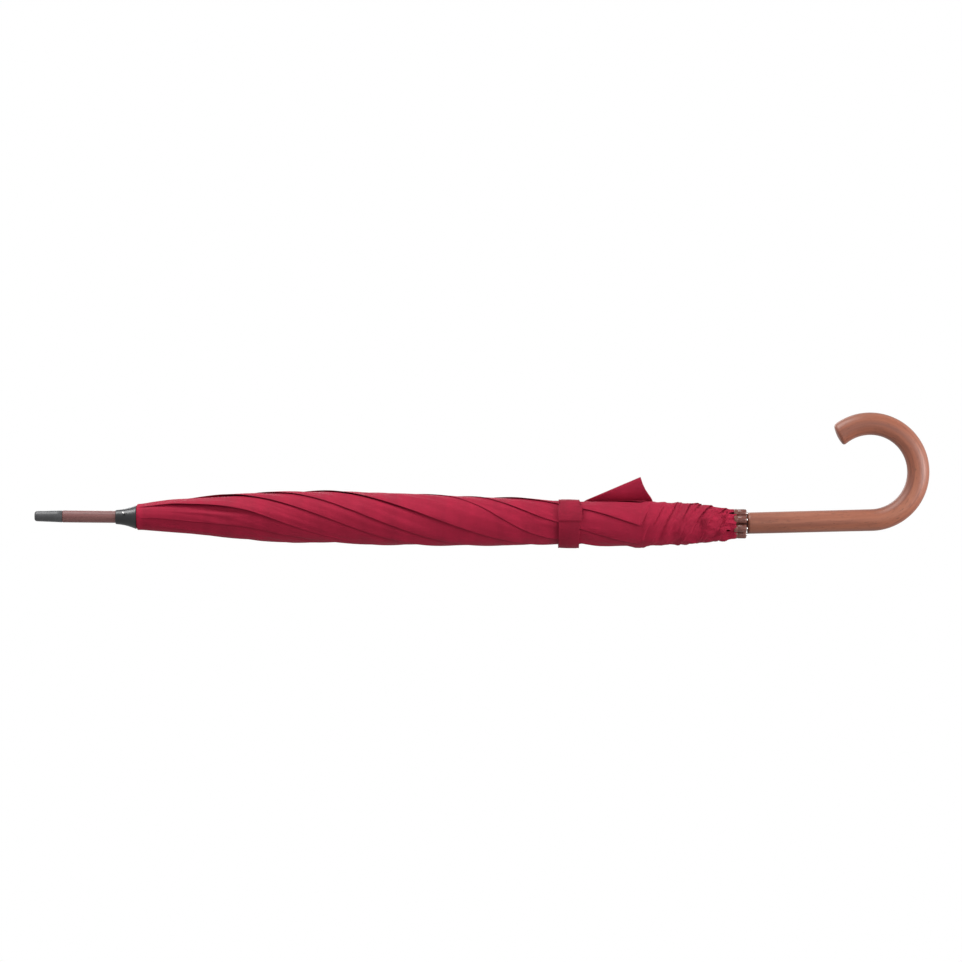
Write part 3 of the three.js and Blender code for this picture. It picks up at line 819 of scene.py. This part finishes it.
STRAP_LIMITS = STRAP_LOW[2] + 0.6, STRAP_HIGH[2] + 1.2
TAB_LIMITS = TAB_LOW[2], TAB_HIGH[2]
strap = band("strap_band", STRAP_TURN, strap_radius, STRAP_LIMITS, f"rib_outer_{STRAP_RIB}", "strap")
lie_flat(strap)
tab = band(
    "strap_free_tab", TAB_TURN, lambda azimuth: TAB_R, TAB_LIMITS, "strap_tab", "strap_tab",
    corner=2.5, neck=2.2,
)
lie_flat(tab)


# ---------- wood ----------
GRIP_BEND = 48                 # radius of the crook's centre line
GRIP_END = -61.5               # height where the crook starts
GRIP_SWEEP = 218.5             # degrees round the crook
GRIP_LEAN = 2                  # degrees between the grip and the shaft
GRIP_SLANT = 0.2               # how far the cut end leans towards the inside of the crook
GRIP_R, GRIP_SWELL = 10.6, 0.55
TOP_EASE = 1.2                 # rounding of the top edge
END_EASE, END_RISE, END_DOME = 3.2, 3.4, 1.0   # rounding of the end's rim, its length, and the dome on it
HAND_WAVE = 0.05               # slight unevenness of the hand-finished surface
END_LENGTH = 2.2               # the rounded end takes this much of the grip's length
GRIP_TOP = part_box("handle")[1][2] / MM


def grip_frame(distance):
    """Centre, direction and side of the grip at a distance from its top, before it leans."""
    run = GRIP_TOP - GRIP_END
    if distance < run:
        return Vector((0, 0, GRIP_TOP - distance)), Vector((0, 0, -1)), Vector((1, 0, 0))
    turn = (distance - run) / GRIP_BEND
    centre = Vector((GRIP_BEND * (1 - math.cos(turn)), 0, GRIP_END - GRIP_BEND * math.sin(turn)))
    along = Vector((math.sin(turn), 0, -math.cos(turn)))
    return centre, along, Vector((math.cos(turn), 0, math.sin(turn)))


def make_handle():
    """The bent grip: bored for the shaft, edges eased, swelling slightly round the crook to a domed end."""
    sides = 64
    total = GRIP_TOP - GRIP_END + GRIP_BEND * math.radians(GRIP_SWEEP)
    lean = Matrix.Rotation(math.radians(-GRIP_LEAN), 3, "Y")
    top = Vector((0, 0, GRIP_TOP))
    bore = SHAFT_R + 0.2
    rows, grain = [], []

    def ring(centre, side, radius, distance):
        out = Vector((0, 1, 0))
        row = []
        for k in range(sides):
            a = 2 * math.pi * k / sides
            row.append(centre + side * radius * math.cos(a) + out * radius * math.sin(a))
            grain.append((radius * math.cos(a) * MM, radius * math.sin(a) * MM, distance * MM))
        rows.append(row)

    floor, chamfer = SHAFT_LOW[2] - 0.4, 0.7
    for radius, z in ((0.3, floor), (bore, floor), (bore, GRIP_TOP - chamfer), (bore + chamfer, GRIP_TOP)):
        ring(Vector((0, 0, z)), Vector((1, 0, 0)), radius, GRIP_TOP - z)

    def leaned(distance, radius, forward=0.0, slant=0.0):
        centre, along, side = grip_frame(distance)
        centre = lean @ (centre + along * forward - top) + top
        ring(centre, lean @ (side + along * slant), radius, distance + forward)

    def swell(distance):
        full = GRIP_R + GRIP_SWELL * float(smoothstep(0, 260, distance))
        return full + HAND_WAVE * math.sin(distance / 21)

    for angle in range(0, 91, 18):
        a = math.radians(angle)
        leaned(TOP_EASE * (1 - math.sin(a)), swell(0) - TOP_EASE + TOP_EASE * math.cos(math.pi / 2 - a))
    last = total - END_LENGTH
    for i in range(1, 150):
        distance = TOP_EASE + (last - TOP_EASE) * i / 150
        leaned(distance, swell(distance), 0, GRIP_SLANT * float(smoothstep(last - 14, last, distance)))
    # the end is cut a little askew, its rim eased round and its face slightly domed
    for angle in range(0, 91, 10):
        a = math.radians(angle)
        rim = swell(total) - END_EASE + END_EASE * math.cos(a)
        leaned(last, rim, END_RISE * math.sin(a), GRIP_SLANT)
    flat_radius = swell(total) - END_EASE
    for share in (0.8, 0.55, 0.3, 0.03):
        leaned(last, flat_radius * share, END_RISE + END_DOME * (1 - share * share), GRIP_SLANT)
    vertices = [v for row in rows for v in row]
    faces = grid_faces(len(rows), sides, closed=True)
    faces += [tuple(range(sides)), tuple(range(len(vertices) - sides, len(vertices)))]
    piece = new_object("crook_handle", vertices, faces, HANDLE_WOOD)
    set_vectors(piece, "grain", grain)
    recalculate(piece)
    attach(piece, "root")
    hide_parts("handle")


SLOT_HALF, SLOT_SPARE = 1.2, 3         # half a spring slot's width, and its length beyond the spring
TENON_R = 4                            # the shaft's turned-down end inside the tip


def make_shaft():
    """The round shaft with its two spring slots cut in."""
    bottom, top = SHAFT_LOW[2], SHAFT_HIGH[2]
    shoulder = TIP_LOW[2] - 0.3
    profile = [(0, bottom), (SHAFT_R - 0.5, bottom), (SHAFT_R, bottom + 0.5)]
    profile += [(SHAFT_R, z) for z in np.linspace(bottom + 20, shoulder - 20, 30)]
    profile += [(SHAFT_R, shoulder - 0.4), (SHAFT_R - 0.4, shoulder)]
    profile += [(TENON_R, shoulder), (TENON_R, top), (0, top)]
    piece = turned("round_shaft", profile, SHAFT_WOOD)
    for node in ("top_spring", "bottom_spring"):
        low, high = (np.array(c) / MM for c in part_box(node))
        hinge = Vector(joints[f"{node}_press"]["pos_m"]) / MM
        azimuth = math.atan2(hinge.y, hinge.x)
        ends = low[2] - SLOT_SPARE, high[2] + SLOT_SPARE
        box = [(x, y, z) for x in (-3, 9) for y in (-SLOT_HALF, SLOT_HALF) for z in ends]
        turn = Matrix.Rotation(azimuth, 3, "Z")
        faces = [(0, 1, 3, 2), (4, 6, 7, 5), (0, 4, 5, 1), (2, 3, 7, 6), (0, 2, 6, 4), (1, 5, 7, 3)]
        tool = new_object("slot_tool", [turn @ Vector(v) for v in box], faces, SHAFT_WOOD, smooth=False)
        recalculate(tool)
        cut = piece.modifiers.new("slot", "BOOLEAN")
        cut.operation, cut.object, cut.solver = "DIFFERENCE", tool, "EXACT"
        settle(piece)
        bpy.data.objects.remove(tool)
    crease_edges(piece)
    settle(piece)
    set_vectors(piece, "grain", [tuple(v.co) for v in piece.data.vertices])
    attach(piece, "root")
    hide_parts("shaft")


make_handle()
make_shaft()


# ---------- plastic and steel ----------
def fit(piece, body, node):
    """Puts a finished hard piece on its body in place of its CAD node."""
    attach(piece, body)
    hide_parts(node)


TIP_END_R, TIP_EDGE = 5.2, 2.4         # radius of the tip's end and the rounding of its edge


def end_tip_profile():
    """The tapered tip, socketed for the shaft, with a small flat left at its end."""
    base, tip = TIP_HIGH[0], TIP_END_R
    bottom, top = TIP_LOW[2], TIP_HIGH[2]
    socket = SHAFT_HIGH[2] + 0.3
    profile = [(0, socket), (4.3, socket), (4.3, bottom), (base - 0.25, bottom), (base, bottom + 0.25)]
    side = top - TIP_EDGE - bottom - 0.3
    profile += [(base + (tip - base) * t - 0.05, bottom + 0.3 + side * t) for t in (0.25, 0.5, 0.75, 1)]
    profile += arc((tip - TIP_EDGE - 0.05, top - TIP_EDGE), TIP_EDGE, 12, 90, 7)
    return profile + [(0, top)]


def cap_profile():
    """Collar, waist and trumpet rim outside, bored for the shaft and hollow over the notch."""
    bottom, top = CAP_LOW[2], CAP_HIGH[2]
    rim, collar, bore = CAP_HIGH[0], 7.25, SHAFT_R + 0.2
    flare = [
        (rim + (collar - rim) * t - 0.9 * math.sin(math.pi * t), bottom + 0.5 + (top - 1.5 - bottom) * t)
        for t in np.linspace(0.04, 1, 16)
    ]
    outside = [(rim - 1.3, bottom), (rim - 0.35, bottom), (rim, bottom + 0.35)] + flare
    outside += [(collar - 0.1, top - 0.5), (collar - 0.6, top), (bore + 0.2, top), (bore, top - 0.2)]
    inside = [(max(r - 1.5, bore), z) for r, z in flare[:10][::-1]]
    return outside + inside + [outside[0]]


def cross_pin(name, node, mat, shank, head, rise):
    """A pin across the shaft with a domed head at each end."""
    low, high = (np.array(c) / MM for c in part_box(node))
    middle = (low + high) / 2
    reach = math.hypot(high[0] - low[0], high[1] - low[1]) / 2
    azimuth = math.atan2(low[1] - high[1], high[0] - low[0])
    base = reach - rise - 0.6
    dome = [(head * math.cos(t), base + rise * math.sin(t)) for t in np.radians((0, 20, 40, 60, 80))]
    half = [(shank, 0), (shank, base - 0.4), (head, base - 0.4)] + dome
    profile = [(0, -half[-1][1])] + [(r, -z) for r, z in half[:0:-1]] + half + [(0, half[-1][1])]
    piece = turned(name, profile, mat, 28)
    tip = Matrix.Rotation(azimuth, 4, "Z") @ Matrix.Rotation(math.pi / 2, 4, "Y")
    piece.data.transform(Matrix.Translation(Vector(middle) * MM) @ tip)
    fit(piece, "root", node)


fit(turned("turned_end_tip", end_tip_profile(), GUNMETAL), "root", "end_tip")
fit(turned("flared_cap", cap_profile(), BLACK), "root", "top_cap")
cross_pin("domed_cap_pin", "cap_pin", BRIGHT, 0.9, 1.25, 0.7)


FERRULE_R, FERRULE_PITCH, FERRULE_SHIFT = 4.1, 11.3, -0.7      # the ring of ferrules sits off the shaft line
KNOB_R, KNOB_LENGTH = 1.5, 1.3         # the rib's bright rounded end


def make_rib_tip(rib):
    """A turned brown ferrule on the rib's end, with the bright end of the rib showing."""
    bottom, top, radius = RIB_TIP_LOW[2], RIB_TIP_HIGH[2], FERRULE_R
    profile = [(0, bottom + 0.5), (1.5, bottom + 0.5), (1.7, bottom + 0.1), (2.4, bottom)]
    profile += arc((radius - 1.5, bottom + 1.5), 1.5, -75, 0, 5)
    groove = radius - 0.22
    profile += [(radius, top - 4.2), (groove, top - 3.9), (groove, top - 3.4), (radius, top - 3.1)]
    profile += arc((radius - 0.8, top - 0.8), 0.8, 0, 90, 4)
    profile += [(1.6, top), (1.5, top - 0.2), (1.5, top - 6), (0, top - 6)]
    a = math.radians(FIRST_RIB + SECTOR * (rib - 1))
    centre = (FERRULE_PITCH * math.cos(a) + FERRULE_SHIFT, FERRULE_PITCH * math.sin(a))
    ferrule = turned(f"ferrule_{rib}", profile, BROWN, 40, centre)
    fit(ferrule, f"rib_outer_{rib}", f"rib_tip_{rib}")
    bends = np.radians((20, 40, 60, 80))
    knob = [(KNOB_R * math.sin(b), bottom - KNOB_LENGTH * math.cos(b)) for b in bends]
    knob = [(0, bottom - KNOB_LENGTH)] + knob + [(KNOB_R - 0.05, bottom + 0.9), (0, bottom + 0.9)]
    end = turned(f"rib_end_{rib}", knob, BRIGHT, 24, centre)
    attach(end, f"rib_outer_{rib}")


for n in range(1, RIBS + 1):
    make_rib_tip(n)

# the CAD pieces that show as they are
CAD_LOOKS = {
    "notch_wire": BRIGHT, "runner_wire": BRIGHT, "stop_pin": BRIGHT,
    "top_spring": BRIGHT, "bottom_spring": BRIGHT, "top_notch": BLACK, "runner": BLACK,
}
for n in range(1, RIBS + 1):
    for node in (f"rib_inner_{n}", f"rib_outer_{n}", f"stretcher_{n}"):
        CAD_LOOKS[node] = ENAMEL
for node, mat in CAD_LOOKS.items():
    piece = frame["nodes"][node]
    if not piece.material_slots:
        piece.data.materials.append(mat)
    for holder in piece.material_slots:
        holder.material = mat


# ---------- studio ----------
FLOOR_Z, FLOOR_R, FLOOR_THICK = -1300, 1600, 4
FILL, BACKDROP = 0.59, 1.0     # strength of the light all round, and of the white that the camera sees


def make_studio():
    """A wide pale floor well below the umbrella and a white world that lights all round."""
    look = Look("pale_floor", Roughness=0.9)
    grain = look.noise(look.place(), 30, 3)
    look.color(look.mix(look.span(grain, 0.0, 1.0), (0.86, 0.86, 0.86), (0.9, 0.9, 0.9)))
    under = FLOOR_Z - FLOOR_THICK
    disc = [(0, under), (FLOOR_R, under), (FLOOR_R, FLOOR_Z), (0, FLOOR_Z)]
    turned("floor", disc, look.mat, 96)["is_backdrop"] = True
    world = bpy.data.worlds.new("studio")
    bpy.context.scene.world = world
    world.use_nodes = True
    nodes, links = world.node_tree.nodes, world.node_tree.links
    fill = nodes["Background"]
    fill.inputs["Color"].default_value = (1, 1, 1, 1)
    fill.inputs["Strength"].default_value = FILL
    seen = nodes.new("ShaderNodeBackground")
    seen.inputs["Color"].default_value = (1, 1, 1, 1)
    seen.inputs["Strength"].default_value = BACKDROP
    path, both = nodes.new("ShaderNodeLightPath"), nodes.new("ShaderNodeMixShader")
    links.new(path.outputs["Is Camera Ray"], both.inputs[0])
    links.new(fill.outputs[0], both.inputs[1])
    links.new(seen.outputs[0], both.inputs[2])
    links.new(both.outputs[0], nodes["World Output"].inputs["Surface"])


def lamp(name, place, aim, size, watts):
    """A soft rectangular lamp that the camera doesn't see."""
    data = bpy.data.lights.new(name, "AREA")
    data.shape, data.size, data.size_y, data.energy = "RECTANGLE", size[0], size[1], watts
    made = bpy.data.objects.new(name, data)
    bpy.context.scene.collection.objects.link(made)
    made.location = place
    made.visible_camera = False
    made.rotation_euler = (Vector(aim) - Vector(place)).to_track_quat("-Z", "Y").to_euler()


make_studio()
MIDDLE = (0, 0, 0.33)
lamp("key", (1.9, -0.45, 1.3), (0, 0, 0.52), (1.2, 1.6), 49)
lamp("front", (0.2, -2.6, 0.3), MIDDLE, (1.6, 1.6), 1.0)
lamp("grip", (0.12, -0.5, -1.15), (0.05, 0, -0.06), (0.5, 1.2), 19)
lamp("crook", (0.05, -0.65, -0.6), (0.07, 0, -0.1), (0.5, 0.5), 1.5)
lamp("hem", (0.2, -1.25, 0.02), (0, 0, 0.08), (1.0, 1.0), 1.7)
lamp("spike", (0.9, -0.25, 1.35), (0, 0, 0.68), (0.5, 0.5), 3)
lamp("rear", (0.9, 2.0, 0.9), MIDDLE, (1.4, 1.4), 16)
bpy.context.scene.view_settings.view_transform = "Standard"

low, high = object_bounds()
sizes = {"cad": [list(cad_low), list(cad_high)], "visual": [list(low), list(high)]}
sizes = {name: [[float(x) for x in corner] for corner in box] for name, box in sizes.items()}
